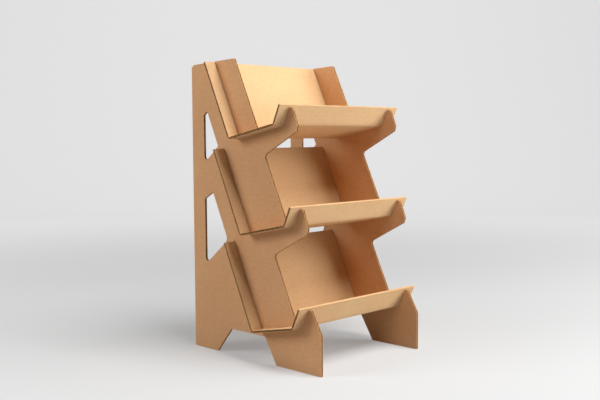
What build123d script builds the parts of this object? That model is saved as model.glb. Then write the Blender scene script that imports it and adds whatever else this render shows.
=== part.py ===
from build123d import *
import os
from dataclasses import dataclass
from math import atan2, cos, degrees, radians, sin

# Cardboard display stand: two slotted side panels hold three folded tray shelves.
# Millimetres. +Z is up, +X is to the right as seen from the front, and the front faces -Y.
# The origin is on the floor, under the middle of the stand's box.
# A side view is drawn as (forward of the rear edge, above the floor).

# Corrugated board
board = 4.0  # thickness of every sheet
liner = 0.5  # thickness of each flat facing
medium = 0.5  # thickness of the fluted paper between the facings
flute_pitch = 7.9  # from one flute crest to the next
crest_width = 1.6  # stretch of each crest that lies flat on its facing
web_slope = 45.0  # slope of the fluted paper between two crests, in degrees
crushed_margin = 3.0  # stretch beside a crease or a cut edge with no open flute
slot_clearance = 1.0  # gap on the open side of a sheet that stands in a slot
slot_end_clearance = 1.0  # gap past the end of a sheet that stands in a closed slot

# Widths across the stand
inner_width = 241.5  # between the two side panels
shelf_overhang = 22.0  # how far a shelf stands out past each side panel

# Slopes of every shelf, in degrees
back_lean = 25.0  # the back leans to the rear, from the vertical
base_rise = 11.3  # the base climbs to the front, from the horizontal
lip_lean = 25.0  # the front lip flares forward, from the vertical

# Places of the shelves
bottom_fold_height = 52.0  # lowest point of the bottom shelf, above the floor
back_inset = 60.2  # rear corner of the top shelf's back, forward of the rear edge
tier_rise = 159.5  # each shelf stands this much higher than the one below
tier_step = 26.2  # and this much further back

# Top shelf
top_back = 145.0  # outside length of the back, from the fold up
top_base = 112.5  # outside length of the base, from fold to fold
top_lip = 35.5  # outside length of the lip, from the fold up
top_seat = 60.5  # stretch of the base in front of the side wall
top_nose = 7.0  # width of the nose's top
top_nose_reach = 31.0  # how far the nose's tip stands past the lip's fold
top_nose_lift = 0.0  # how far the nose's tip lies above the lip's fold

# Middle shelf
middle_back = 157.0
middle_base = 108.5
middle_lip = 35.5
middle_seat = 14.8
middle_nose = 6.5
middle_nose_reach = 30.5
middle_nose_lift = -1.5

# Bottom shelf
bottom_back = 159.0
bottom_base = 98.5
bottom_lip = 38.5
bottom_seat = 11.0
bottom_nose = 6.5
bottom_nose_reach = 41.2
bottom_nose_lift = -6.0

# Top edge of a side panel
top_margin = 2.6  # above the rear corner of the top shelf's back
top_rise = 2.5  # slope of the edge, in degrees, climbing to the front
rear_chamfer_run = 6.0  # along the top edge
rear_chamfer_drop = 4.5  # down the rear edge

# Feet and the arch between them
rear_foot = 61.5
rear_leg_run = 37.0  # how far the rear foot's slanted side leans forward
front_foot = 101.0
front_leg_run = 27.5  # how far the front foot's slanted side leans to the rear
arch_web = 7.5  # board left between the arch and the bottom shelf
arch_radius = 3.0

# Nose in front of each lip, and the arm under it
lip_proud = 4.0  # how far the lip stands past the nose's top
nose_fall = 10.0  # slope of the nose's top, in degrees, falling to the front
nose_radius = 3.0
chin_run = 3.0
chin_drop = 9.3
chin_radius = 2.0
arm_slope = 27.5  # underside of the arm, in degrees, falling to the rear
notch_radius = 7.0
wall_corner_radius = 3.0  # free top corner of the top shelf's side wall

# Windows in the rear leg of a side panel, one behind each of the two lower shelves
rear_leg = 32.0  # board left behind the windows
window_slope = 38.5  # lower side, in degrees, climbing to the front
window_radius = 6.0  # at the lowest corner
window_top_radius = 3.0
upper_window_web = 8.2  # board left between the front side and the line of the shelf's back
upper_window_lift = 10.5  # front corner above the top of the shelf's back, along its slope
upper_window_top = 8.7  # width at the top
upper_window_fall = 8.0  # rear corner below the highest one
upper_window_radius = 3.0  # at the front corner
lower_window_web = 12.2
lower_window_lift = 8.6
lower_window_top = 22.1
lower_window_fall = 12.0
lower_window_radius = 10.0


@dataclass
class Tier:
    """One shelf and the side wall and nose that the side panels give it."""

    name: str
    back: float  # outside length of the back, from the fold up
    base: float  # outside length of the base, from fold to fold
    lip: float  # outside length of the lip, from the fold up
    seat: float  # stretch of the base in front of the side wall
    nose: float  # width of the nose's top
    nose_reach: float  # how far the nose's tip stands past the lip's fold
    nose_lift: float  # how far the nose's tip lies above the lip's fold
    back_slot_open: bool  # the slot for the back runs out through the panel's top edge
    fold: Vector = None  # outside corner between back and base


@dataclass
class Window:
    """One window with four corners, and its front side in line with a shelf's back."""

    tier: Tier
    web: float  # board left between the front side and the line of the shelf's back
    lift: float  # front corner above the top of the shelf's back, along its slope
    top: float  # width at the top
    fall: float  # rear corner below the highest one
    front_radius: float


top = Tier(
    "shelf_top", top_back, top_base, top_lip, top_seat, top_nose, top_nose_reach, top_nose_lift, True
)
middle = Tier(
    "shelf_middle",
    middle_back,
    middle_base,
    middle_lip,
    middle_seat,
    middle_nose,
    middle_nose_reach,
    middle_nose_lift,
    False,
)
bottom = Tier(
    "shelf_bottom",
    bottom_back,
    bottom_base,
    bottom_lip,
    bottom_seat,
    bottom_nose,
    bottom_nose_reach,
    bottom_nose_lift,
    False,
)
tiers = [top, middle, bottom]
windows = [
    Window(
        middle,
        upper_window_web,
        upper_window_lift,
        upper_window_top,
        upper_window_fall,
        upper_window_radius,
    ),
    Window(
        bottom,
        lower_window_web,
        lower_window_lift,
        lower_window_top,
        lower_window_fall,
        lower_window_radius,
    ),
]


def direction(angle):
    """Unit vector in the side view, at an angle in degrees above straight forward."""
    return Vector(cos(radians(angle)), sin(radians(angle)))


def meet(first, first_way, second, second_way):
    """Point where the line from first along first_way meets the one from second."""
    reach = (second - first).cross(second_way).Z / first_way.cross(second_way).Z
    return first + first_way * reach


# Directions of a shelf's three flats, and the square direction into the tray from each
up_back = direction(90 + back_lean)
along_base = direction(base_rise)
up_lip = direction(90 - lip_lean)
into_from_back = direction(back_lean)
into_from_lip = direction(180 - lip_lean)
fold_sine = sin(radians(90 + back_lean - base_rise))
foot_sine = sin(radians(90 + lip_lean + base_rise))

top_fold_forward = back_inset - up_back.X * top_back
for number, tier in enumerate(tiers):
    steps_up = len(tiers) - 1 - number
    tier.fold = Vector(
        top_fold_forward + number * tier_step, bottom_fold_height + steps_up * tier_rise
    )


def lip_foot(tier):
    """Outside corner of the fold between base and lip."""
    return tier.fold + along_base * tier.base


def board_line(tier, depth):
    """Back top, fold, lip fold and lip top, on a line this deep inside the shelf's outside."""
    fold = tier.fold + (up_back + along_base) * (depth / fold_sine)
    foot = lip_foot(tier) + (up_lip - along_base) * (depth / foot_sine)
    back_top = tier.fold + up_back * tier.back + into_from_back * depth
    lip_top = lip_foot(tier) + up_lip * tier.lip + into_from_lip * depth
    return [back_top, fold, foot, lip_top]


def wall_foot(tier):
    """Where the side wall's front edge, drawn on, meets the line that the base rests on."""
    return lip_foot(tier) - along_base * tier.seat


def nose_tip(tier):
    """Front tip of the nose that stands before the lip."""
    return lip_foot(tier) + Vector(tier.nose_reach, tier.nose_lift)


def chin(tier):
    """Corner under the nose's tip, where the arm's underside starts."""
    return nose_tip(tier) - Vector(chin_run, chin_drop)


panel_depth = nose_tip(bottom).X
arch_height = bottom_fold_height - arch_web
panel_width = inner_width + 2 * board  # over both side panels
shelf_length = panel_width + 2 * shelf_overhang


def side_plane(x):
    """Plane of the side view at a place across the stand, facing the left."""
    return Plane(origin=(x, panel_depth / 2, 0), x_dir=(0, -1, 0), z_dir=(-1, 0, 0))


def tier_outline(tier, wall_end, wall_end_radius):
    """Corners and radii of one tier's nose, seat and side wall, from the tip to the wall's end."""
    nose_rear = lip_foot(tier) + up_lip * (tier.lip - lip_proud)
    nose_front = nose_rear + direction(-nose_fall) * tier.nose
    return [
        (nose_tip(tier), nose_radius),
        (nose_front, nose_radius),
        (nose_rear, 0),
        (lip_foot(tier), 0),
        (wall_foot(tier), 0),
        (wall_end, wall_end_radius),
    ]


def panel_outline():
    """Corners and radii of a side panel, from the rear of the floor line round the front."""
    back_top = board_line(top, 0)[0]
    top_edge = direction(top_rise)
    rear_top = meet(back_top + Vector(0, top_margin), top_edge, Vector(0, 0), Vector(0, 1))
    wall_top = meet(wall_foot(top), up_back, rear_top, top_edge)
    outline = [
        (Vector(0, 0), 0),
        (Vector(rear_foot, 0), 0),
        (Vector(rear_foot + rear_leg_run, arch_height), arch_radius),
        (Vector(panel_depth - front_foot - front_leg_run, arch_height), arch_radius),
        (Vector(panel_depth - front_foot, 0), 0),
        (Vector(panel_depth, 0), 0),
    ]
    for tier, above in ((bottom, middle), (middle, top)):
        notch = meet(wall_foot(tier), up_back, chin(above), direction(arm_slope))
        outline += tier_outline(tier, notch, notch_radius)
        outline.append((chin(above), chin_radius))
    outline += tier_outline(top, wall_top, wall_corner_radius)
    outline.append((rear_top + top_edge * rear_chamfer_run, 0))
    outline.append((rear_top - Vector(0, rear_chamfer_drop), 0))
    return outline


def slot_corners(tier):
    """Corners of the slot that one shelf stands in."""
    slot_width = board + slot_clearance
    back_top, fold, foot, _ = board_line(tier, 0)
    inner_top, inner_fold, inner_foot, _ = board_line(tier, slot_width)
    if tier.back_slot_open:
        # Straight slot from the base's seat out through the panel's top edge
        run_out = up_back * (2 * top_margin + board)
        seat_corner = tier.fold + along_base * (slot_width / fold_sine)
        return [back_top + run_out, fold, seat_corner, inner_top + run_out]
    past_end = up_back * slot_end_clearance
    return [back_top + past_end, fold, foot, inner_foot, inner_fold, inner_top + past_end]


def window_corners(window):
    """Corners and radii of one window, from the lowest corner round the front."""
    back_top = board_line(window.tier, 0)[0]
    front = back_top + up_back * window.lift - into_from_back * window.web
    low = meet(front, direction(window_slope), Vector(rear_leg, 0), Vector(0, 1))
    peak = meet(front, up_back, Vector(rear_leg + window.top, 0), Vector(0, 1))
    rear = Vector(rear_leg, peak.Y - window.fall)
    return [
        (low, window_radius),
        (front, window.front_radius),
        (peak, window_top_radius),
        (rear, window_top_radius),
    ]


def closed_shape(corners, mode=Mode.ADD):
    """Face with straight sides and rounded corners, from corner and radius pairs."""
    with BuildSketch() as shape:
        with BuildLine():
            points = [point for point, _ in corners]
            FilletPolyline(*points, radius=[radius for _, radius in corners], close=True)
        make_face()
    return shape.sketch


def shelf_corners(tier):
    """Corners and radii of the folded sheet's section: round outside each fold, sharp inside."""
    outside = board_line(tier, 0)
    inside = board_line(tier, board)
    radii = [0, board, board, 0, 0, 0, 0, 0]
    return list(zip(outside + inside[::-1], radii))


# Open flutes of the board, as two shapes that hang below the inside facing's line.
# A web between two flutes moves web_run along the board for each millimetre through it.
hollow = board - 2 * liner
half_mouth = (flute_pitch - crest_width) / 2
web_run = (medium / sin(radians(web_slope)) + 2 * half_mouth - flute_pitch / 2) / hollow
half_root = half_mouth - (hollow - medium) * web_run
inner_flute = [
    (-half_mouth, -liner),
    (half_mouth, -liner),
    (half_root, medium + liner - board),
    (-half_root, medium + liner - board),
]
outer_flute = [(x, -board - y) for x, y in inner_flute]


def flute_places(start, end):
    """Middle of one flat of the inside facing, turned along it, and its count of flutes."""
    flat = end - start
    middle = Location(start + flat / 2, (0, 0, degrees(atan2(flat.Y, flat.X))))
    return middle, int((flat.length - 2 * crushed_margin) / flute_pitch)


# Cutting shape of a side panel, the same for both sides
with BuildSketch() as panel_die:
    add(closed_shape(panel_outline()))
    for tier in tiers:
        Polygon(*slot_corners(tier), align=None, mode=Mode.SUBTRACT)
    for window in windows:
        add(closed_shape(window_corners(window)), mode=Mode.SUBTRACT)

os.makedirs("parts", exist_ok=True)

# Side panels, each one flat sheet
for side, start in (("left", -inner_width / 2), ("right", inner_width / 2 + board)):
    with BuildPart() as side_panel:
        with BuildSketch(side_plane(start)):
            add(panel_die.sketch)
        extrude(amount=board)
    side_panel.part.label = f"side_panel_{side}"
    export_step(side_panel.part, f"parts/side_panel_{side}.step")

# Shelves, each one folded sheet with its flutes running along the folds
for tier in tiers:
    inside = board_line(tier, board)
    with BuildPart() as shelf:
        with BuildSketch(side_plane(shelf_length / 2)):
            add(closed_shape(shelf_corners(tier)))
            for start, end in zip(inside[:-1], inside[1:]):
                middle, count = flute_places(start, end)
                with Locations(middle):
                    with GridLocations(flute_pitch, flute_pitch, count, 1):
                        Polygon(*inner_flute, align=None, mode=Mode.SUBTRACT)
                        with Locations((flute_pitch / 2, 0)):
                            Polygon(*outer_flute, align=None, mode=Mode.SUBTRACT)
        extrude(amount=shelf_length)
        if tier.back_slot_open:
            # Slit in the base for each side wall, which passes through it
            through = along_base.rotate(Axis.Z, 90) * board
            slit_start = inside[1] - through
            slit_end = wall_foot(tier) + along_base * slot_clearance
            slit = [slit_start, slit_end, slit_end + through, slit_start + through]
            for start in (-inner_width / 2 + slot_clearance, panel_width / 2 + slot_clearance):
                with BuildSketch(side_plane(start)):
                    Polygon(*slit, align=None)
                extrude(amount=board + 2 * slot_clearance, mode=Mode.SUBTRACT)
    shelf.part.label = tier.name
    export_step(shelf.part, f"parts/{tier.name}.step")
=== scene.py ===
"""Cardboard display stand: corrugated sheets, folded and die-cut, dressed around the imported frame.

Everything is in metres in the frame's own axes: +Z up, +X to the right and -Y to the front. A side view is
drawn as (forward of the rear edge, above the floor), as on the flat die-cut sheet of a side panel.
"""

from __future__ import annotations

import logging
from dataclasses import dataclass, field
from enum import Enum
from math import cos, pi, radians, sin
from typing import Any, Callable, Mapping, Sequence

import bmesh
import bpy
from mathutils import Matrix, Vector


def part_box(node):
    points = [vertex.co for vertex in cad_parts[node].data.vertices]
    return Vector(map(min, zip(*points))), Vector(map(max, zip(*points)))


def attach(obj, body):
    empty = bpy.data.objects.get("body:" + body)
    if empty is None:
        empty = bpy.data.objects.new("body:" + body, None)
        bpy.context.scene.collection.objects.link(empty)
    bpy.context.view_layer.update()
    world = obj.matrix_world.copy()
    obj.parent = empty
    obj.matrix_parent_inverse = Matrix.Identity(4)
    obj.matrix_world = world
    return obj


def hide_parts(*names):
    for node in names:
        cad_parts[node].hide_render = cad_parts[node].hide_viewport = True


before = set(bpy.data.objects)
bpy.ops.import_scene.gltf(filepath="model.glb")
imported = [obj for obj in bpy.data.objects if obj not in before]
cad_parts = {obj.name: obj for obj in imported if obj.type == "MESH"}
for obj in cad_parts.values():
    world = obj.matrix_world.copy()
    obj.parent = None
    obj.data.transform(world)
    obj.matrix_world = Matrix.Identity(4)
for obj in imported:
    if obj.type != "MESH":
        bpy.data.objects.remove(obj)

LOG = logging.getLogger("display_stand")
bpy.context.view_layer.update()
BODY = "root"
BOARD_MAP = "board"  # UV map: (along the flutes, across the flutes), in metres
FOLD_MARK = "fold"  # point attribute: 1 at the folds of a sheet's path
CUT_MARK = "cut_face"  # face attribute: true on cut edges
ACROSS_MARK = "across"  # point attribute: length of the sheet's path so far
SIDE_MARK = "facing"  # point attribute: the way out of the sheet, square to its path
SMOOTH_BELOW = radians(35)
MIDWAY = 0.5  # middle of a noise, and what splits a mark into no and yes
MERGE_DISTANCE = 1e-6  # joins the loose corners of a frame node's mesh
WHITE = (1.0, 1.0, 1.0, 1.0)
Colour = tuple[float, float, float]
Stretch = tuple[float, float, float]  # noise cells for each metre of X, Y and Z
Range = tuple[float, float]
Given = Callable[[str], "Socket"]  # looks up one of a tree's inputs


class Cut(Enum):
    """What a cutter leaves of a sheet."""

    KEEP_INSIDE = "INTERSECT"
    TAKE_AWAY = "DIFFERENCE"


class Socket:
    """One output of a node, or a plain number, that takes part in Python expressions."""

    def __init__(self, graph: Graph, link: Any) -> None:
        """Wrap an output socket of a graph.

        Args:
            graph: The graph that new nodes go into.
            link: The output socket.
        """
        self.graph = graph
        self.link = link

    def _math(self, operation: str, first: Any, second: Any) -> Socket:
        """Add one Math node and return its result."""
        return self.graph.node("ShaderNodeMath", {"operation": operation}, {0: first, 1: second})

    def __add__(self, other: Any) -> Socket:
        """Return the sum."""
        return self._math("ADD", self, other)

    def __sub__(self, other: Any) -> Socket:
        """Return this less the other."""
        return self._math("SUBTRACT", self, other)

    def __rsub__(self, other: Any) -> Socket:
        """Return the other less this."""
        return self._math("SUBTRACT", other, self)

    def __mul__(self, other: Any) -> Socket:
        """Return the product."""
        return self._math("MULTIPLY", self, other)

    def __truediv__(self, other: Any) -> Socket:
        """Return this divided by the other."""
        return self._math("DIVIDE", self, other)

    def sine(self) -> Socket:
        """Return the sine of this angle in radians."""
        return self._math("SINE", self, 0.0)

    def sibling(self, output: Any) -> Socket:
        """Return another output of the same node, by name or place."""
        return Socket(self.graph, Graph.find(self.link.node.outputs, output))

    def size(self) -> Socket:
        """Return this without its sign."""
        return self._math("ABSOLUTE", self, 0.0)

    def over(self, limit: float) -> Socket:
        """Return 1 where this is more than the limit, and 0 elsewhere."""
        return self._math("GREATER_THAN", self, limit)

    def ramp(self, low: float, high: float, start: Any = 0.0, end: Any = 1.0) -> Socket:
        """Return a smooth step that goes from start to end as this goes from low to high."""
        settings = {"interpolation_type": "SMOOTHSTEP"}
        return self.graph.node("ShaderNodeMapRange", settings, {0: self, 1: low, 2: high, 3: start, 4: end})


class Graph:
    """A node tree that is written as Python expressions."""

    def __init__(self, tree: bpy.types.NodeTree) -> None:
        """Start on a tree.

        Args:
            tree: The shader or geometry node tree to fill.
        """
        self.tree = tree

    def node(
        self,
        kind: str,
        settings: Mapping[str, Any] | None = None,
        inputs: Mapping[Any, Any] | None = None,
        output: Any = 0,
    ) -> Socket | None:
        """Add one node.

        Args:
            kind: The node's type.
            settings: The node's own properties, set before its sockets are used.
            inputs: Values or links by socket name, identifier or place.
            output: Name or place of the output to return.

        Returns:
            The chosen output, or nothing where the node has none.
        """
        made = self.tree.nodes.new(kind)
        for name, value in (settings or {}).items():
            setattr(made, name, value)
        for name, value in (inputs or {}).items():
            self.feed(self.find(made.inputs, name), value)
        return Socket(self, self.find(made.outputs, output)) if made.outputs else None

    def feed(self, target: Any, value: Any) -> None:
        """Link a socket to a value's output, or set it to a plain value.

        Args:
            target: The input socket.
            value: A Socket, a list of Sockets for an input that takes many, or a plain value.
        """
        if isinstance(value, Socket):
            self.tree.links.new(value.link, target)
        elif isinstance(value, list):
            for each in value:
                self.tree.links.new(each.link, target)
        else:
            target.default_value = value

    def vector(self, operation: str, first: Any, second: Any, output: Any = 0) -> Socket:
        """Add one Vector Math node and return its result."""
        return self.node("ShaderNodeVectorMath", {"operation": operation}, {0: first, 1: second}, output)

    def scale(self, value: Any, factor: Any) -> Socket:
        """Return a vector times a number."""
        return self.node("ShaderNodeVectorMath", {"operation": "SCALE"}, {0: value, "Scale": factor})

    def blend(self, factor: Any, first: Any, second: Any) -> Socket:
        """Mix two colours.

        Args:
            factor: 0 gives the first colour and 1 the second.
            first: The first colour.
            second: The second colour.

        Returns:
            The mixed colour.
        """
        settings = {"data_type": "RGBA"}
        inputs = {"Factor_Float": factor, "A_Color": first, "B_Color": second}
        return self.node("ShaderNodeMix", settings, inputs, "Result_Color")

    def noise(self, place: Socket, scale: float, detail: float = 3.0, roughness: float = 0.5) -> Socket:
        """Return a noise field from 0 to 1, about 0.5."""
        inputs = {"Vector": place, "Scale": scale, "Detail": detail, "Roughness": roughness}
        return self.node("ShaderNodeTexNoise", {"noise_dimensions": "3D"}, inputs, "Fac")

    @staticmethod
    def find(sockets: Any, name: Any) -> Any:
        """Find one of a node's sockets.

        Args:
            sockets: The node's inputs or outputs.
            name: The socket's place, identifier or name.

        Returns:
            The socket.
        """
        if isinstance(name, int):
            return sockets[name]
        for socket in sockets:
            if socket.identifier == name:
                return socket
        return sockets[name]


@dataclass(frozen=True)
class Board:
    """Single-wall corrugated board."""

    thickness: float = 0.004
    liner: float = 0.0005  # thickness of each flat facing
    medium: float = 0.0006  # thickness of the fluted paper, as frayed by the cut
    pitch: float = 0.0079  # from one flute crest to the next
    steps: int = 16  # stretches that make one flute
    ripple: float = 0.00005  # how far a facing sinks between its glue lines
    glue: float = 0.00001  # between a crest and its facing
    draw_in: float = 0.00015  # how far the rims lie inside the facings' ends
    rim: float = 0.0005  # thickness of the pressed edge that closes each end of the path
    crush_reach: float = 0.006  # stretch beside a fold where the flutes flatten
    crush_share: float = 0.72  # of the thickness that is left at a fold
    fold_radius: float = 0.0024  # of the board's middle line

    @property
    def facing_offset(self) -> float:
        """Distance from the board's middle to the middle of a facing."""
        return (self.thickness - self.liner) / 2

    @property
    def crest_drop(self) -> float:
        """Distance from the middle of a facing to the middle of a crest that is glued to it."""
        return (self.liner + self.medium) / 2 + self.glue

    @property
    def rim_width(self) -> float:
        """Clear width between the facings, where a rim fits."""
        return 2 * (self.facing_offset - self.ripple - self.glue) - self.liner


@dataclass(frozen=True)
class PaperMarks:
    """Size and strength of the marks in the paper, alike for every paper."""

    cloud_scale: float = 11.0  # scales are noise cells for each metre
    mottle_scale: float = 170.0
    grain_scale: float = 1500.0
    speck_scale: float = 620.0
    fibres_along: Stretch = (260.0, 2600.0, 900.0)
    fibres_across: Stretch = (2300.0, 330.0, 420.0)
    cloud_share: float = 0.9  # shares in the blotches
    mottle_share: float = 1.1
    grain_share: float = 0.5
    # the stripes' share in the colour is painted shade of the facings' ripple over the flutes
    stripe_shade_share: float = 0.25
    blotch_range: Range = (0.15, 0.85)  # ranges of a noise in which a mark comes up
    fibre_range: Range = (0.60, 0.72)
    speck_range: Range = (0.70, 0.78)
    fibre_strength: float = 0.15
    speck_strength: float = 0.45
    mottle_height: float = 0.35  # heights are shares in the relief
    grain_height: float = 0.35
    fibre_height: float = 0.3
    stripe_height: float = 0.6
    bump_strength: float = 0.35
    roughness_swing: float = 0.1


@dataclass(frozen=True)
class PaperFinish:
    """Unbleached paper: a mottled tone with fibres and flecks, and the flutes' faint stripes, which are
    relief and also painted shade of the facings' ripple.
    """

    name: str
    tone: Colour
    shade: Colour  # of the darker blotches
    fibre: Colour  # of the pale fibres
    fleck: Colour  # of the few dark flecks
    stripes: float = 0.0  # strength of the flutes' stripes, in relief and as painted shade of the facings' ripple
    roughness: float = 0.88
    gloss: float = 0.12
    relief: float = 0.00006
    marks: PaperMarks = PaperMarks()

    def material(self, board: Board) -> bpy.types.Material:
        """Build the material.

        Args:
            board: The board whose flutes show through.

        Returns:
            The new material.
        """
        made = bpy.data.materials.new(self.name)
        made.use_nodes = True
        made.node_tree.nodes.clear()
        graph = Graph(made.node_tree)
        place = graph.node("ShaderNodeTexCoord", output="Object")
        sheet = graph.node("ShaderNodeUVMap", {"uv_map": BOARD_MAP}, output="UV")
        marks = self.marks
        cloud = graph.noise(place, marks.cloud_scale, detail=2.0)
        mottle = graph.noise(place, marks.mottle_scale, detail=5.0, roughness=0.62)
        grain = graph.noise(place, marks.grain_scale, detail=3.0, roughness=0.6)
        along = graph.noise(graph.vector("MULTIPLY", place, marks.fibres_along), 1.0, detail=2.0)
        across = graph.noise(graph.vector("MULTIPLY", place, marks.fibres_across), 1.0, detail=2.0)
        specks = graph.noise(place, marks.speck_scale, detail=1.0)
        split = graph.node("ShaderNodeSeparateXYZ", inputs={0: sheet}, output="Y")
        stripe = (split * (2 * pi / board.pitch)).sine() * self.stripes
        blotch = (
            (cloud - MIDWAY) * marks.cloud_share
            + (mottle - MIDWAY) * marks.mottle_share
            + (grain - MIDWAY) * marks.grain_share
            # painted shade of the facings' ripple
            + stripe * marks.stripe_shade_share
            + MIDWAY
        )
        colour = graph.blend(blotch.ramp(*marks.blotch_range), (*self.tone, 1.0), (*self.shade, 1.0))
        pale = (
            along.ramp(*marks.fibre_range) * marks.fibre_strength
            + across.ramp(*marks.fibre_range) * marks.fibre_strength
        )
        colour = graph.blend(pale, colour, (*self.fibre, 1.0))
        dark = specks.ramp(*marks.speck_range) * marks.speck_strength
        colour = graph.blend(dark, colour, (*self.fleck, 1.0))
        height = (
            mottle * marks.mottle_height
            + grain * marks.grain_height
            + pale * marks.fibre_height
            + stripe * marks.stripe_height
        )
        inputs = {"Strength": marks.bump_strength, "Distance": self.relief, "Height": height}
        normal = graph.node("ShaderNodeBump", inputs=inputs, output="Normal")
        surface = graph.node(
            "ShaderNodeBsdfPrincipled",
            inputs={
                "Base Color": colour,
                "Roughness": (mottle - MIDWAY) * marks.roughness_swing + self.roughness,
                "Specular IOR Level": self.gloss,
                "Normal": normal,
            },
        )
        graph.node("ShaderNodeOutputMaterial", inputs={"Surface": surface})
        return made


@dataclass(frozen=True)
class StageFinish:
    """Plain pale sweep of the studio."""

    tone: float = 0.44
    floor_glow: float = 0.26  # seen by the camera only
    wall_glow: float = 0.66  # seen by the camera only
    glow_from: float = 0.35  # distance from the stand up to which the glow is the floor's
    glow_to: float = 2.7  # distance from which the glow is the wall's
    bounce: float = 0.45  # tone that all rays but the camera's meet
    cloud_scale: float = 0.7  # noise cells for each metre
    cloud_depth: float = 0.02
    roughness: float = 0.95

    def material(self) -> bpy.types.Material:
        """Build the material.

        Returns:
            The new material.
        """
        made = bpy.data.materials.new("studio_paper")
        made.use_nodes = True
        made.node_tree.nodes.clear()
        graph = Graph(made.node_tree)
        place = graph.node("ShaderNodeTexCoord", output="Object")
        cloud = graph.noise(place, self.cloud_scale, detail=1.0)
        seen = graph.node("ShaderNodeLightPath", output="Is Camera Ray")
        level = (cloud * -self.cloud_depth + self.tone) * seen + (1.0 - seen) * self.bounce
        colour = graph.node("ShaderNodeCombineColor", inputs={0: level, 1: level, 2: level})
        away = graph.vector("LENGTH", place, (0.0, 0.0, 0.0), "Value")
        glow = away.ramp(self.glow_from, self.glow_to, self.floor_glow, self.wall_glow) * seen
        inputs = {
            "Base Color": colour,
            "Roughness": self.roughness,
            "Specular IOR Level": 0.0,
            "Emission Color": graph.node("ShaderNodeCombineColor", inputs={0: glow, 1: glow, 2: glow}),
            "Emission Strength": 1.0,
        }
        surface = graph.node("ShaderNodeBsdfPrincipled", inputs=inputs)
        graph.node("ShaderNodeOutputMaterial", inputs={"Surface": surface})
        return made


@dataclass
class Finishes:
    """The papers: all pieces share the fluted paper and cut edges. The panels' facing is a redder copy of the
    shelves' facing: painted shade of the panels' outer faces, which take less light than the shelves.
    """

    board: Board
    panel_facing: bpy.types.Material = field(init=False)
    shelf_facing: bpy.types.Material = field(init=False)
    fluting: bpy.types.Material = field(init=False)
    cut_edge: bpy.types.Material = field(init=False)

    def __post_init__(self) -> None:
        """Build the materials."""
        # Redder than the shelves' facing, as painted shade: the panels' outer faces take less light and look
        # deeper in colour
        self.panel_facing = PaperFinish(
            "panel_facing",
            tone=(0.700, 0.392, 0.198),
            shade=(0.640, 0.342, 0.164),
            fibre=(0.760, 0.470, 0.270),
            fleck=(0.380, 0.190, 0.090),
            stripes=0.1,
        ).material(self.board)
        # The paper's own tone, as on the lit shelves; the panels' facing is its shaded copy
        self.shelf_facing = PaperFinish(
            "shelf_facing",
            tone=(0.700, 0.458, 0.246),
            shade=(0.645, 0.402, 0.204),
            fibre=(0.760, 0.530, 0.310),
            fleck=(0.380, 0.215, 0.105),
            stripes=0.12,
        ).material(self.board)
        # Browner than the facings as the medium's own paper, and darker still as painted shade of the dim
        # channels inside the open flutes
        self.fluting = PaperFinish(
            "fluting_paper",
            tone=(0.320, 0.125, 0.030),
            shade=(0.250, 0.092, 0.021),
            fibre=(0.400, 0.180, 0.055),
            fleck=(0.150, 0.058, 0.016),
            roughness=0.94,
            gloss=0.0,
        ).material(self.board)
        self.cut_edge = PaperFinish(
            "cut_paper",
            tone=(0.700, 0.410, 0.190),
            shade=(0.590, 0.325, 0.138),
            fibre=(0.770, 0.500, 0.270),
            fleck=(0.360, 0.180, 0.075),
            roughness=0.95,
            gloss=0.0,
        ).material(self.board)


class TreeMaker:
    """Starts a geometry node tree with named inputs and ends it."""

    def __init__(self, name: str, inputs: Sequence[tuple[str, str]]) -> None:
        """Open the tree.

        Args:
            name: The tree's name.
            inputs: Name and socket type of each input after the geometry.
        """
        self.tree = bpy.data.node_groups.new(name, "GeometryNodeTree")
        self.tree.is_modifier = True
        face = self.tree.interface
        face.new_socket("Geometry", in_out="INPUT", socket_type="NodeSocketGeometry")
        for label, kind in inputs:
            face.new_socket(label, in_out="INPUT", socket_type=kind)
        face.new_socket("Geometry", in_out="OUTPUT", socket_type="NodeSocketGeometry")
        self.graph = Graph(self.tree)
        self.source = self.tree.nodes.new("NodeGroupInput")

    def given(self, label: str) -> Socket:
        """Return one of the tree's inputs."""
        return Socket(self.graph, self.source.outputs[label])

    def close(self, geometry: Socket, cut_face: Socket) -> bpy.types.NodeTree:
        """Give the cut faces their finish and end the tree.

        Args:
            geometry: The finished geometry, with its other finishes.
            cut_face: Which faces are cut edges.

        Returns:
            The tree.
        """
        real = self.graph.node("GeometryNodeRealizeInstances", inputs={0: geometry})
        inputs = {0: real, "Selection": cut_face, "Material": self.given("Cut Edge")}
        done = self.graph.node("GeometryNodeSetMaterial", inputs=inputs)
        sink = self.tree.nodes.new("NodeGroupOutput")
        self.tree.links.new(done.link, sink.inputs[0])
        return self.tree


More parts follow.
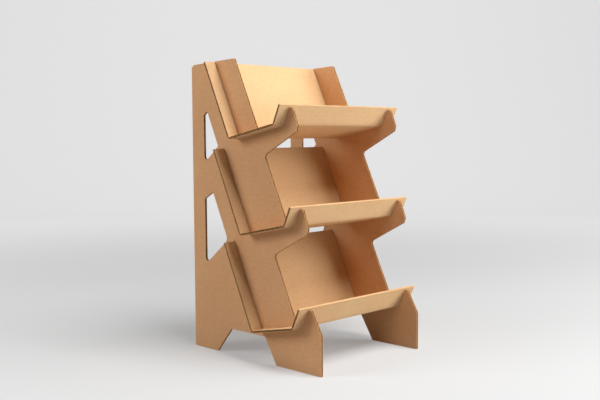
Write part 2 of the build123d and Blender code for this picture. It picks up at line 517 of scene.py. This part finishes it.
class Corrugator:
    """Makes corrugated sheets: two facings with a fluted medium between, along a folded path."""

    FOLD_STEPS = 12  # stretches that round one fold
    FACE_ON = 0.5  # a face that turns less than this to the sheet's side is a cut edge
    INPUTS = [
        ("Run", "NodeSocketFloat"),
        ("Pitch", "NodeSocketFloat"),
        ("Steps", "NodeSocketInt"),
        ("Facing Offset", "NodeSocketFloat"),
        ("Crest Drop", "NodeSocketFloat"),
        ("Ripple", "NodeSocketFloat"),
        ("Liner", "NodeSocketFloat"),
        ("Medium", "NodeSocketFloat"),
        ("Draw In", "NodeSocketFloat"),
        ("Rim", "NodeSocketFloat"),
        ("Rim Width", "NodeSocketFloat"),
        ("Fold Radius", "NodeSocketFloat"),
        ("Crush Reach", "NodeSocketFloat"),
        ("Crush Share", "NodeSocketFloat"),
        ("Facing", "NodeSocketMaterial"),
        ("Fluting", "NodeSocketMaterial"),
        ("Cut Edge", "NodeSocketMaterial"),
    ]

    def __init__(self, board: Board, finishes: Finishes) -> None:
        """Build the trees.

        Args:
            board: The board to make.
            finishes: The papers that it shows.
        """
        self.board = board
        self.finishes = finishes
        self.sheet_tree = self._sheet_tree()
        self.cut_trees = {cut: self._cut_tree(cut) for cut in Cut}

    def _sheet_tree(self) -> bpy.types.NodeTree:
        """Build the tree that turns a path into a sheet of board.

        Returns:
            The tree.
        """
        maker = TreeMaker("corrugated_sheet", self.INPUTS)
        graph, given = maker.graph, maker.given
        mark = graph.node("GeometryNodeInputNamedAttribute", {"data_type": "FLOAT"}, {"Name": FOLD_MARK})
        folded = {0: given("Geometry"), 1: mark.over(MIDWAY)}
        folds = graph.node("GeometryNodeSeparateGeometry", {"domain": "POINT"}, folded)
        path = graph.node("GeometryNodeMeshToCurve", inputs={0: given("Geometry")})
        path = graph.node(
            "GeometryNodeFilletCurve",
            {"mode": "POLY"},
            {"Curve": path, "Count": self.FOLD_STEPS, "Radius": given("Fold Radius"), "Limit Radius": True},
        )
        length = graph.node("GeometryNodeCurveLength", inputs={0: path})
        count = length / given("Pitch") * given("Steps") + 1.0
        path = graph.node("GeometryNodeResampleCurve", {"mode": "COUNT"}, {"Curve": path, "Count": count})
        so_far = graph.node("GeometryNodeSplineParameter", output="Length")
        path = graph.node(
            "GeometryNodeStoreNamedAttribute",
            {"data_type": "FLOAT", "domain": "POINT"},
            {"Geometry": path, "Name": ACROSS_MARK, "Value": so_far},
        )
        across = graph.node("GeometryNodeInputNamedAttribute", {"data_type": "FLOAT"}, {"Name": ACROSS_MARK})
        reach = graph.node(
            "GeometryNodeProximity", {"target_element": "POINTS"}, {"Geometry": folds}, "Distance"
        )
        crushed = (1.0 - reach.ramp(0.0, given("Crush Reach"))) * reach.sibling("Is Valid")
        half = given("Facing Offset") * (1.0 - crushed * (1.0 - given("Crush Share")))
        wave = (across * (2 * pi) / given("Pitch")).sine()
        layers = [self._layer(graph, path, wave * (half - given("Crest Drop")), given, 0.0)]
        for side in (-1.0, 1.0):
            sink = (1.0 - wave * side) * 0.5 * given("Ripple")
            layers.append(self._layer(graph, path, (half - sink) * side, given, side))
        whole = graph.node("GeometryNodeCurveLength", inputs={0: path})
        inset = given("Draw In")
        layers.append(self._rim(graph, path, given, inset, given("Rim") + inset))
        layers.append(self._rim(graph, path, given, whole - inset - given("Rim"), whole - inset))
        joined = graph.node("GeometryNodeJoinGeometry", inputs={0: layers})
        # Forward in the side view becomes -Y, up becomes +Z, and the run lies along X
        turned = Matrix(((0, 0, -1), (-1, 0, 0), (0, 1, 0))).to_euler()
        placed = graph.node("GeometryNodeTransform", inputs={"Geometry": joined, "Rotation": tuple(turned)})
        cut_face = graph.node("GeometryNodeInputNamedAttribute", {"data_type": "BOOLEAN"}, {"Name": CUT_MARK})
        return maker.close(placed, cut_face)

    @staticmethod
    def _layer(graph: Graph, path: Socket, offset: Socket, given: Given, side: float) -> Socket:
        """Turn the path into one layer of paper.

        Args:
            graph: The tree's graph.
            path: The sheet's middle line, in even steps.
            offset: How far the layer lies from the middle line.
            given: Looks up the tree's inputs.
            side: 0 for the medium, and 1 or -1 for the liner on that side of the middle line.

        Returns:
            The layer's closed mesh.
        """
        tangent = graph.node("GeometryNodeInputTangent")
        square = graph.vector("CROSS_PRODUCT", tangent, (0.0, 0.0, 1.0))
        shift = graph.scale(square, offset)
        line = graph.node("GeometryNodeSetPosition", inputs={"Geometry": path, "Offset": shift})
        line = graph.node(
            "GeometryNodeStoreNamedAttribute",
            {"data_type": "FLOAT_VECTOR", "domain": "POINT"},
            {"Geometry": line, "Name": SIDE_MARK, "Value": square},
        )
        if not side:
            whole = graph.node("GeometryNodeCurveLength", inputs={0: line})
            inset = given("Draw In") + given("Rim") + given("Medium")
            ends = {"Curve": line, "Start_001": inset, "End_001": whole - inset}
            line = graph.node("GeometryNodeTrimCurve", {"mode": "LENGTH"}, ends)
        mesh = Corrugator._sweep(graph, line, given("Liner" if side else "Medium"), given)
        facing = graph.node(
            "GeometryNodeInputNamedAttribute", {"data_type": "FLOAT_VECTOR"}, {"Name": SIDE_MARK}
        )
        normal = graph.node("GeometryNodeInputNormal")
        outward = graph.vector("DOT_PRODUCT", normal, facing, "Value")
        end_on = 1.0 - outward.size().over(Corrugator.FACE_ON)
        mesh = graph.node(
            "GeometryNodeStoreNamedAttribute",
            {"data_type": "BOOLEAN", "domain": "FACE"},
            {"Geometry": mesh, "Name": CUT_MARK, "Value": end_on},
        )
        # The medium and the facings' inner sides take the fluting paper, which is darkened as painted shade
        # of the channels
        mesh = graph.node("GeometryNodeSetMaterial", inputs={0: mesh, "Material": given("Fluting")})
        if not side:
            return mesh
        outer = {0: mesh, "Selection": (outward * side).over(Corrugator.FACE_ON), "Material": given("Facing")}
        return graph.node("GeometryNodeSetMaterial", inputs=outer)

    @staticmethod
    def _rim(graph: Graph, path: Socket, given: Given, start: Socket, end: Socket) -> Socket:
        """Close one end of the path with a pressed edge between the facings, in their paper.

        Args:
            graph: The tree's graph.
            path: The sheet's middle line.
            given: Looks up the tree's inputs.
            start: Where the rim starts, along the path.
            end: Where it ends.

        Returns:
            The rim's closed mesh.
        """
        ends = {"Curve": path, "Start_001": start, "End_001": end}
        line = graph.node("GeometryNodeTrimCurve", {"mode": "LENGTH"}, ends)
        mesh = Corrugator._sweep(graph, line, given("Rim Width"), given)
        return graph.node("GeometryNodeSetMaterial", inputs={0: mesh, "Material": given("Facing")})

    @staticmethod
    def _sweep(graph: Graph, line: Socket, width: Socket, given: Given) -> Socket:
        """Give a line its paper's thickness and run.

        Args:
            graph: The tree's graph.
            line: The paper's middle line.
            width: The paper's thickness.
            given: Looks up the tree's inputs.

        Returns:
            The closed mesh with its board map.
        """
        line = graph.node("GeometryNodeSetCurveNormal", {"mode": "Z_UP"}, {"Curve": line})
        section = graph.node(
            "GeometryNodeCurvePrimitiveQuadrilateral",
            {"mode": "RECTANGLE"},
            {"Width": width, "Height": given("Run")},
        )
        mesh = graph.node(
            "GeometryNodeCurveToMesh", inputs={"Curve": line, "Profile Curve": section, "Fill Caps": True}
        )
        place = graph.node("GeometryNodeInputPosition")
        along = graph.node("ShaderNodeSeparateXYZ", inputs={0: place}, output="Z")
        across = graph.node("GeometryNodeInputNamedAttribute", {"data_type": "FLOAT"}, {"Name": ACROSS_MARK})
        spot = graph.node("ShaderNodeCombineXYZ", inputs={0: along, 1: across})
        return graph.node(
            "GeometryNodeStoreNamedAttribute",
            {"data_type": "FLOAT2", "domain": "CORNER"},
            {"Geometry": mesh, "Name": BOARD_MAP, "Value": spot},
        )

    @staticmethod
    def _cut_tree(cut: Cut) -> bpy.types.NodeTree:
        """Build the tree that cuts a sheet with another object.

        Args:
            cut: What is left of the sheet.

        Returns:
            The tree.
        """
        inputs = [("Cutter", "NodeSocketObject"), ("Cut Edge", "NodeSocketMaterial")]
        maker = TreeMaker(f"die_cut_{cut.name.lower()}", inputs)
        graph, given = maker.graph, maker.given
        cutter = graph.node("GeometryNodeObjectInfo", inputs={"Object": given("Cutter")}, output="Geometry")
        cutter = graph.node(
            "GeometryNodeStoreNamedAttribute",
            {"data_type": "BOOLEAN", "domain": "FACE"},
            {"Geometry": cutter, "Name": CUT_MARK, "Value": True},
        )
        bodies = {"Mesh 2": [given("Geometry"), cutter]}
        if cut is Cut.TAKE_AWAY:
            bodies = {"Mesh 1": given("Geometry"), "Mesh 2": cutter}
        settings = {"operation": cut.value, "solver": "EXACT"}
        result = graph.node("GeometryNodeMeshBoolean", settings, bodies, "Mesh")
        cut_face = graph.node("GeometryNodeInputNamedAttribute", {"data_type": "BOOLEAN"}, {"Name": CUT_MARK})
        return maker.close(result, cut_face)

    def sheet(
        self, name: str, facing: bpy.types.Material, path: Sequence[Vector], run: float, x_middle: float
    ) -> bpy.types.Object:
        """Make one sheet of board.

        Args:
            name: The new object's name.
            facing: The paper of both faces.
            path: The middle line's corners in the side view.
            run: Width of the sheet, along its flutes.
            x_middle: Place of the sheet's middle across the stand.

        Returns:
            The new object, with its place in its mesh.
        """
        mesh = bpy.data.meshes.new(name)
        corners = [(point.x, point.y, 0.0) for point in path]
        mesh.from_pydata(corners, [(n, n + 1) for n in range(len(corners) - 1)], [])
        mark = mesh.attributes.new(FOLD_MARK, "FLOAT", "POINT")
        last = len(corners) - 1
        mark.data.foreach_set("value", [float(0 < n < last) for n in range(len(corners))])
        made = bpy.data.objects.new(name, mesh)
        bpy.context.scene.collection.objects.link(made)
        board = self.board
        values = {
            "Run": run,
            "Pitch": board.pitch,
            "Steps": board.steps,
            "Facing Offset": board.facing_offset,
            "Crest Drop": board.crest_drop,
            "Ripple": board.ripple,
            "Liner": board.liner,
            "Medium": board.medium,
            "Draw In": board.draw_in,
            "Rim": board.rim,
            "Rim Width": board.rim_width,
            "Fold Radius": board.fold_radius,
            "Crush Reach": board.crush_reach,
            "Crush Share": board.crush_share,
            "Facing": facing,
            "Fluting": self.finishes.fluting,
            "Cut Edge": self.finishes.cut_edge,
        }
        self._apply(made, self.sheet_tree, values)
        made.data.transform(Matrix.Translation((x_middle, 0.0, 0.0)))
        return made

    def cut(self, sheet: bpy.types.Object, cutter: bpy.types.Object, cut: Cut) -> None:
        """Cut a sheet, and delete the cutter.

        Args:
            sheet: The sheet's object.
            cutter: The cutter's object.
            cut: What is left of the sheet.
        """
        self._apply(sheet, self.cut_trees[cut], {"Cutter": cutter, "Cut Edge": self.finishes.cut_edge})
        bpy.data.objects.remove(cutter)

    @staticmethod
    def _apply(target: bpy.types.Object, tree: bpy.types.NodeTree, values: Mapping[str, Any]) -> None:
        """Run a tree on an object and keep the result as its plain mesh.

        Args:
            target: The object.
            tree: The geometry node tree.
            values: The tree's inputs by name.
        """
        modifier = target.modifiers.new(tree.name, "NODES")
        modifier.node_group = tree
        for item in tree.interface.items_tree:
            if item.in_out == "INPUT" and item.name in values:
                modifier[item.identifier] = values[item.name]
        graph = bpy.context.evaluated_depsgraph_get()
        result = bpy.data.meshes.new_from_object(target.evaluated_get(graph))
        target.modifiers.clear()
        target.data = result


def side_view(angle: float) -> Vector:
    """Return the unit vector in the side view at an angle in degrees above straight forward."""
    return Vector((cos(radians(angle)), sin(radians(angle))))


def tidy(piece: bpy.types.Object) -> None:
    """Shade a piece smooth across its soft bends and drop the helper attributes.

    Args:
        piece: The finished object.
    """
    mesh = piece.data
    mesh.shade_smooth()
    mesh.set_sharp_from_angle(angle=SMOOTH_BELOW)
    for name in (ACROSS_MARK, SIDE_MARK, FOLD_MARK, CUT_MARK):
        if name in mesh.attributes:
            mesh.attributes.remove(mesh.attributes[name])


@dataclass
class SidePanel:
    """One flat side panel: a sheet with level flutes, cut to the frame's own outline."""

    side: str
    corrugator: Corrugator
    slug: float = 0.01  # how far the uncut sheet reaches past the outline, and the die past both faces

    @property
    def node(self) -> str:
        """Name of the frame's node that the panel stands for."""
        return f"side_panel_{self.side}"

    def build(self) -> bpy.types.Object:
        """Build the panel.

        Returns:
            The finished piece.
        """
        low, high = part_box(self.node)
        path = [Vector((0.0, low.z)), Vector((0.0, high.z + self.slug))]
        run = high.y - low.y + 2 * self.slug
        facing = self.corrugator.finishes.panel_facing
        sheet = self.corrugator.sheet(f"{self.node}_board", facing, path, run, 0.0)
        # The path runs up with its flutes across the stand, so the sheet turns a quarter to lie in its plane
        middle = (low + high) / 2
        quarter = Matrix.Rotation(pi / 2, 4, "Z")
        sheet.data.transform(Matrix.Translation((middle.x, middle.y, 0.0)) @ quarter)
        self.corrugator.cut(sheet, self._die(), Cut.KEEP_INSIDE)
        tidy(sheet)
        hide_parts(self.node)
        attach(sheet, BODY)
        return sheet

    def _die(self) -> bpy.types.Object:
        """Build a cutter with the panel's outline that is thicker than the board.

        Returns:
            The cutter's object.
        """
        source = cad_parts[self.node]
        shape = bmesh.new()
        shape.from_mesh(source.data)
        bmesh.ops.remove_doubles(shape, verts=shape.verts, dist=MERGE_DISTANCE)
        low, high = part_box(self.node)
        for vert in shape.verts:
            vert.co.x += self.slug if vert.co.x > (low.x + high.x) / 2 else -self.slug
        mesh = bpy.data.meshes.new(f"{self.node}_die")
        shape.to_mesh(mesh)
        shape.free()
        die = bpy.data.objects.new(mesh.name, mesh)
        bpy.context.scene.collection.objects.link(die)
        return die


@dataclass
class TrayShelf:
    """One folded tray shelf, with its three flats: back, base and lip."""

    name: str
    corrugator: Corrugator
    fold: Vector  # outside corner between back and base, in the side view
    back: float  # outside lengths, from fold to fold or to the edge
    base: float
    lip: float
    seat: float = 0.0  # stretch of the base in front of the side walls, where they pass through it
    back_lean: float = 25.0  # to the rear, from the vertical
    base_rise: float = 11.3  # to the front, from the horizontal
    lip_lean: float = 25.0  # to the front, from the vertical
    slit_gap: float = 0.001  # beside a side wall in its slit

    def build(self, rear: float) -> bpy.types.Object:
        """Build the shelf.

        Args:
            rear: Place of the side panels' rear edge, along Y.

        Returns:
            The finished piece.
        """
        low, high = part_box(self.name)
        run = high.x - low.x
        facing = self.corrugator.finishes.shelf_facing
        x_middle = (low.x + high.x) / 2
        sheet = self.corrugator.sheet(f"{self.name}_board", facing, self._middle_line(), run, x_middle)
        sheet.data.transform(Matrix.Translation((0.0, rear, 0.0)))
        if self.seat:
            self.corrugator.cut(sheet, self._slits(rear), Cut.TAKE_AWAY)
        tidy(sheet)
        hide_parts(self.name)
        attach(sheet, BODY)
        return sheet

    def _ways(self) -> tuple[Vector, Vector, Vector]:
        """Return the side view's directions of the back, the base and the lip, each going up."""
        return side_view(90 + self.back_lean), side_view(self.base_rise), side_view(90 - self.lip_lean)

    def _middle_line(self) -> list[Vector]:
        """Work out the board's middle line in the side view.

        Returns:
            Its corners, from the back's top to the lip's.
        """
        up_back, along_base, up_lip = self._ways()
        depth = self.corrugator.board.thickness / 2
        fold_sine = sin(radians(90 + self.back_lean - self.base_rise))
        foot_sine = sin(radians(90 + self.lip_lean + self.base_rise))
        foot = self.fold + along_base * self.base
        return [
            self.fold + up_back * self.back + side_view(self.back_lean) * depth,
            self.fold + (up_back + along_base) * (depth / fold_sine),
            foot + (up_lip - along_base) * (depth / foot_sine),
            foot + up_lip * self.lip + side_view(180 - self.lip_lean) * depth,
        ]

    def _slits(self, rear: float) -> bpy.types.Object:
        """Build a cutter for the two slits in the base that the side walls pass through.

        Args:
            rear: Place of the side panels' rear edge, along Y.

        Returns:
            The cutter's object.
        """
        up_back, along_base, _ = self._ways()
        board = self.corrugator.board.thickness
        fold_sine = sin(radians(90 + self.back_lean - self.base_rise))
        square = side_view(self.base_rise + 90)
        start = self.fold + (up_back + along_base) * (board / fold_sine)
        end = self.fold + along_base * (self.base - self.seat + self.slit_gap)
        end = end + square * (start - end).dot(square)
        below = square * (2 * board)
        above = square * board
        outline = [start - below, end - below, end + above, start + above]
        shape = bmesh.new()
        for node in ("side_panel_left", "side_panel_right"):
            low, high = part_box(node)
            rings = []
            for x in (low.x - self.slit_gap, high.x + self.slit_gap):
                rings.append([shape.verts.new((x, rear - point.x, point.y)) for point in outline])
            first, second = rings
            shape.faces.new(first)
            shape.faces.new(second[::-1])
            for n in range(len(outline)):
                after = (n + 1) % len(outline)
                shape.faces.new((first[after], first[n], second[n], second[after]))
        bmesh.ops.recalc_face_normals(shape, faces=shape.faces)
        mesh = bpy.data.meshes.new("slit_cutter")
        shape.to_mesh(mesh)
        shape.free()
        cutter = bpy.data.objects.new("slit_cutter", mesh)
        bpy.context.scene.collection.objects.link(cutter)
        return cutter


@dataclass
class DisplayStand:
    """The whole stand: two side panels and three tray shelves."""

    board: Board = field(default_factory=Board)
    bottom_fold_height: float = 0.052
    top_fold_forward: float = 0.12148
    tiers: int = 3
    tier_rise: float = 0.1595
    tier_step: float = 0.0262  # to the front, from each tier to the one below

    def build(self) -> list[bpy.types.Object]:
        """Build every piece.

        Returns:
            The pieces, side panels first.
        """
        corrugator = Corrugator(self.board, Finishes(self.board))
        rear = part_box("side_panel_left")[1].y
        made = [SidePanel(side, corrugator).build() for side in ("left", "right")]
        top, middle, bottom = (self._fold(steps_down) for steps_down in range(self.tiers))
        shelves = [
            TrayShelf("shelf_top", corrugator, top, back=0.145, base=0.1125, lip=0.0355, seat=0.0605),
            TrayShelf("shelf_middle", corrugator, middle, back=0.157, base=0.1085, lip=0.0355),
            TrayShelf("shelf_bottom", corrugator, bottom, back=0.159, base=0.0985, lip=0.0385),
        ]
        made += [shelf.build(rear) for shelf in shelves]
        return made

    def _fold(self, steps_down: int) -> Vector:
        """Work out where a shelf's back meets its base, on the outside.

        Args:
            steps_down: Tiers from the top shelf down to this one.

        Returns:
            The corner in the side view.
        """
        forward = self.top_fold_forward + steps_down * self.tier_step
        height = self.bottom_fold_height + (self.tiers - 1 - steps_down) * self.tier_rise
        return Vector((forward, height))


@dataclass(frozen=True)
class Lamp:
    """One soft area lamp on a dome about the stand."""

    name: str
    turn: float  # degrees to the right of the front
    rise: float  # degrees above the stand's middle
    power: float
    size: float = 0.9
    distance: float = 1.8

    def build(self, aim: Vector) -> bpy.types.Object:
        """Build the lamp.

        Args:
            aim: The point that it faces.

        Returns:
            The new lamp.
        """
        data = bpy.data.lights.new(self.name, "AREA")
        data.shape = "SQUARE"
        data.size = self.size
        data.energy = self.power
        lamp = bpy.data.objects.new(self.name, data)
        turn, up = radians(self.turn), radians(self.rise)
        way = Vector((sin(turn) * cos(up), -cos(turn) * cos(up), sin(up)))
        lamp.location = aim + way * self.distance
        lamp.rotation_euler = (-way).to_track_quat("-Z", "Y").to_euler()
        bpy.context.scene.collection.objects.link(lamp)
        return lamp


@dataclass
class Studio:
    """The pale sweep, the lamps, the world and the camera."""

    half_width: float = 4.0
    front: float = -3.0
    back: float = 2.6
    bend: float = 1.2
    bend_steps: int = 24
    wall: float = 3.5
    world_level: float = 0.03
    world_seen: float = 0.72  # what the camera sees past the sweep
    lamps: tuple[Lamp, ...] = (
        Lamp("key_lamp", turn=38.0, rise=10.0, power=32.0, size=1.3),
        Lamp("top_lamp", turn=0.0, rise=62.0, power=37.0, size=1.0),
        Lamp("side_lamp", turn=-118.0, rise=24.0, power=15.8),
    )
    aim: Vector = field(default_factory=lambda: Vector((0.0, 0.0, 0.22)))  # of the lamps
    lens: float = 51.766
    sensor: float = 36.0
    eye: Vector = field(default_factory=lambda: Vector((-1.08857, -1.0623, 0.37553)))
    yaw: float = 0.79221  # to the right of +Y
    pitch: float = 0.073423  # down
    roll: float = -0.0066887

    def build(self) -> None:
        """Build everything that isn't part of the object."""
        self._sweep()
        self._world()
        for lamp in self.lamps:
            lamp.build(self.aim)
        self._camera()
        bpy.context.scene.view_settings.view_transform = "Standard"

    def _sweep(self) -> bpy.types.Object:
        """Build the floor that bends up into the wall behind the stand.

        Returns:
            The sweep's object.
        """
        line = [(self.front, 0.0), (self.back, 0.0)]
        for n in range(1, self.bend_steps + 1):
            turn = pi / 2 * n / self.bend_steps
            line.append((self.back + self.bend * sin(turn), self.bend * (1 - cos(turn))))
        line.append((self.back + self.bend, self.wall))
        # The sweep faces the camera, so it is turned to the camera's yaw about the stand
        turned = Matrix.Rotation(-self.yaw, 4, "Z")
        verts = [turned @ Vector((x, y, z)) for y, z in line for x in (-self.half_width, self.half_width)]
        faces = [(2 * n, 2 * n + 1, 2 * n + 3, 2 * n + 2) for n in range(len(line) - 1)]
        mesh = bpy.data.meshes.new("studio_sweep")
        mesh.from_pydata(verts, [], faces)
        mesh.shade_smooth()
        mesh.materials.append(StageFinish().material())
        sweep = bpy.data.objects.new("studio_sweep", mesh)
        bpy.context.scene.collection.objects.link(sweep)
        return sweep

    def _world(self) -> None:
        """Give the world its even light."""
        world = bpy.data.worlds.new("studio_air")
        world.use_nodes = True
        world.node_tree.nodes.clear()
        graph = Graph(world.node_tree)
        seen = graph.node("ShaderNodeLightPath", output="Is Camera Ray")
        strength = seen * (self.world_seen - self.world_level) + self.world_level
        sky = graph.node("ShaderNodeBackground", inputs={"Color": WHITE, "Strength": strength})
        graph.node("ShaderNodeOutputWorld", inputs={"Surface": sky})
        bpy.context.scene.world = world

    def _camera(self) -> None:
        """Put the camera where the photograph was taken from."""
        ahead = Vector((sin(self.yaw) * cos(self.pitch), cos(self.yaw) * cos(self.pitch), -sin(self.pitch)))
        level = Vector((cos(self.yaw), -sin(self.yaw), 0.0))
        over = level.cross(ahead)
        right = level * cos(self.roll) + over * sin(self.roll)
        up = over * cos(self.roll) - level * sin(self.roll)
        data = bpy.data.cameras.new("photo_camera")
        data.sensor_fit = "HORIZONTAL"
        data.sensor_width = self.sensor
        data.lens = self.lens
        camera = bpy.data.objects.new("photo_camera", data)
        turn = Matrix((right, up, -ahead)).transposed().to_4x4()
        camera.matrix_world = Matrix.Translation(self.eye) @ turn
        bpy.context.scene.collection.objects.link(camera)
        bpy.context.scene.camera = camera


def main() -> None:
    """Build the stand and its studio, and report each piece."""
    logging.basicConfig(level=logging.INFO, format="%(name)s: %(message)s")
    for piece in DisplayStand().build():
        triangles = sum(len(face.vertices) - 2 for face in piece.data.polygons)
        LOG.info("%s: %d triangles, %d finishes", piece.name, triangles, len(piece.data.materials))
    Studio().build()


if __name__ == "__main__":
    main()
